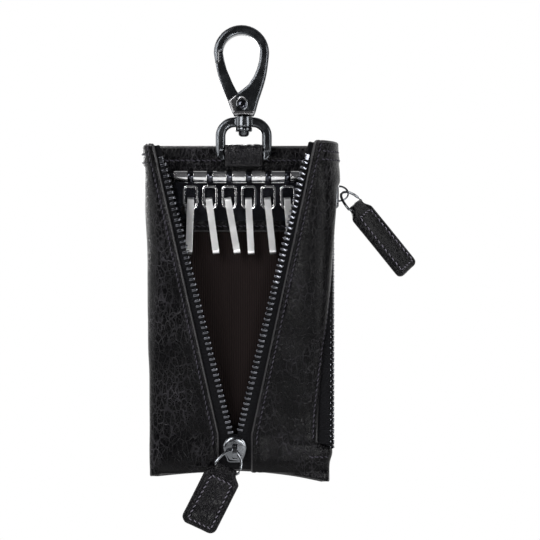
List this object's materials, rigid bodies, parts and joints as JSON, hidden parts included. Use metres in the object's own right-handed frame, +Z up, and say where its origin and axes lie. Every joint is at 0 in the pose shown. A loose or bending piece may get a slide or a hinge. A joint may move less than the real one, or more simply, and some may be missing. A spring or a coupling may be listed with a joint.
{
  "type": "key case",
  "caption": "Black leather key case with a snap hook, an open V-shaped front zip, a side zip and a row of swinging key hooks inside.",
  "frame": {"origin": "inner top of the snap hook's eye, where the object hangs", "axes": "+Z up from the case to the hook, -Y out of the open front, +X towards the side zip"},
  "size_m": [0.1092, 0.0284, 0.2025],
  "materials": {
    "hook_metal": "dark gunmetal plate, satin with bright edges",
    "bright_nickel": "bright nickel plate",
    "dark_nickel": "black nickel plate, mirror-like",
    "teeth_metal": "black nickel zip teeth with bright faces",
    "black_leather": "semi-gloss black cowhide with fine creases",
    "brown_lining": "dark brown ribbed lining",
    "black_tape": "black woven zip tape"
  },
  "bodies": {
    "snap_hook": {"hook_body": "hook_metal", "gate_rivet": "bright_nickel", "gate_spring": "bright_nickel", "swivel_post": "dark_nickel"},
    "gate": {"hook_gate": "hook_metal"},
    "shackle": {"shackle": "hook_metal", "shackle_bar": "dark_nickel"},
    "case": {"hanger_loop": "black_leather", "back_panel": "black_leather", "back_lining": "brown_lining", "facing_strip": "black_leather", "left_flap": "black_leather", "right_flap": "black_leather", "left_flap_lining": "brown_lining", "right_flap_lining": "brown_lining", "zip_tail": "black_tape", "key_plate": "dark_nickel", "key_rod": "bright_nickel", "plate_rivets": "bright_nickel", "side_tape_front": "black_tape", "side_tape_back": "black_tape", "side_teeth_front": "teeth_metal", "side_teeth_back": "teeth_metal"},
    "left_zip": {"zip_tape_left": "black_tape", "zip_teeth_left": "teeth_metal"},
    "right_zip": {"zip_tape_right": "black_tape", "zip_teeth_right": "teeth_metal"},
    "main_slider": {"main_slider": "bright_nickel", "main_bail": "bright_nickel"},
    "main_ring": {"main_ring": "bright_nickel"},
    "main_tab": {"main_pull_tab": "black_leather"},
    "side_slider": {"side_slider": "bright_nickel", "side_bail": "bright_nickel"},
    "side_ring": {"side_ring": "bright_nickel"},
    "side_tab": {"side_pull_tab": "black_leather"},
    "hook_1": {"stirrup_1": "bright_nickel", "strap_1": "bright_nickel"},
    "hook_2": {"stirrup_2": "bright_nickel", "strap_2": "bright_nickel"},
    "hook_3": {"stirrup_3": "bright_nickel", "strap_3": "bright_nickel"},
    "hook_4": {"stirrup_4": "bright_nickel", "strap_4": "bright_nickel"},
    "hook_5": {"stirrup_5": "bright_nickel", "strap_5": "bright_nickel"},
    "hook_6": {"stirrup_6": "bright_nickel", "strap_6": "bright_nickel"}
  },
  "joints": [
    {"name": "gate_swing", "type": "hinge", "parent": "snap_hook", "child": "gate", "pos_m": [-0.0002, 0, -0.0281], "axis": [0, 1, 0], "range_deg": [0, 25], "stiffness_Nm_per_rad": 0.03, "springref_deg": -20.05},
    {"name": "swivel", "type": "hinge", "parent": "snap_hook", "child": "shackle", "pos_m": [0.0003, 0, -0.0327], "axis": [0, 0, 1], "continuous": true},
    {"name": "case_swing", "type": "hinge", "parent": "shackle", "child": "case", "pos_m": [0.0003, 0, -0.0466], "axis": [1, 0, 0], "range_deg": [-25, 25]},
    {"name": "main_slide", "type": "slide", "parent": "case", "child": "main_slider", "axis": [0, -0.0885, 0.9961], "range_m": [0, 0.108]},
    {"name": "left_zip_close", "type": "hinge", "parent": "case", "child": "left_zip", "pos_m": [-0.0045, -0.0002, -0.1599], "axis": [-0.3125, 0.9464, 0.0823], "range_deg": [0, 14.44], "deforming": ["zip_tape_left", "zip_teeth_left"]},
    {"name": "right_zip_close", "type": "hinge", "parent": "case", "child": "right_zip", "pos_m": [-0.0019, -0.0002, -0.1599], "axis": [-0.3125, -0.9464, -0.0823], "range_deg": [0, 14.44], "deforming": ["zip_tape_right", "zip_teeth_right"]},
    {"name": "main_ring_swing", "type": "hinge", "parent": "main_slider", "child": "main_ring", "pos_m": [-0.0032, -0.00384, -0.16625], "axis": [-0.8809, -0.15, 0.4489], "range_deg": [0, 80]},
    {"name": "main_tab_swing", "type": "hinge", "parent": "main_ring", "child": "main_tab", "pos_m": [-0.00651, -0.00495, -0.17311], "axis": [-0.8809, -0.15, 0.4489], "range_deg": [0, 60]},
    {"name": "side_slide", "type": "slide", "parent": "case", "child": "side_slider", "axis": [0, 0, -1], "range_m": [0, 0.0952], "deforming": ["side_tape_front", "side_tape_back", "side_teeth_front", "side_teeth_back"]},
    {"name": "side_ring_swing", "type": "hinge", "parent": "side_slider", "child": "side_ring", "pos_m": [0.03972, 0.0017, -0.0632], "axis": [-0.4964, -0.7691, -0.4025], "range_deg": [-15, 50]},
    {"name": "side_tab_swing", "type": "hinge", "parent": "side_ring", "child": "side_tab", "pos_m": [0.04529, 0.00086, -0.06845], "axis": [-0.4964, -0.7691, -0.4025], "range_deg": [-15, 60]},
    {"name": "hook_1_swing", "type": "hinge", "parent": "case", "child": "hook_1", "pos_m": [-0.021, 0.0005, -0.0566], "axis": [1, 0, 0], "range_deg": [-15, 1]},
    {"name": "hook_2_swing", "type": "hinge", "parent": "case", "child": "hook_2", "pos_m": [-0.01322, 0.0005, -0.0566], "axis": [1, 0, 0], "range_deg": [-75, 1]},
    {"name": "hook_3_swing", "type": "hinge", "parent": "case", "child": "hook_3", "pos_m": [-0.00544, 0.0005, -0.0566], "axis": [1, 0, 0], "range_deg": [-75, 1]},
    {"name": "hook_4_swing", "type": "hinge", "parent": "case", "child": "hook_4", "pos_m": [0.00234, 0.0005, -0.0566], "axis": [1, 0, 0], "range_deg": [-75, 1]},
    {"name": "hook_5_swing", "type": "hinge", "parent": "case", "child": "hook_5", "pos_m": [0.01012, 0.0005, -0.0566], "axis": [1, 0, 0], "range_deg": [-75, 1]},
    {"name": "hook_6_swing", "type": "hinge", "parent": "case", "child": "hook_6", "pos_m": [0.0179, 0.0005, -0.0566], "axis": [1, 0, 0], "range_deg": [-15, 1]}
  ],
  "couplings": [
    {"joint": "left_zip_close", "follows": "main_slide", "rad_per_m": 2.3336},
    {"joint": "right_zip_close", "follows": "main_slide", "rad_per_m": 2.3336}
  ]
}
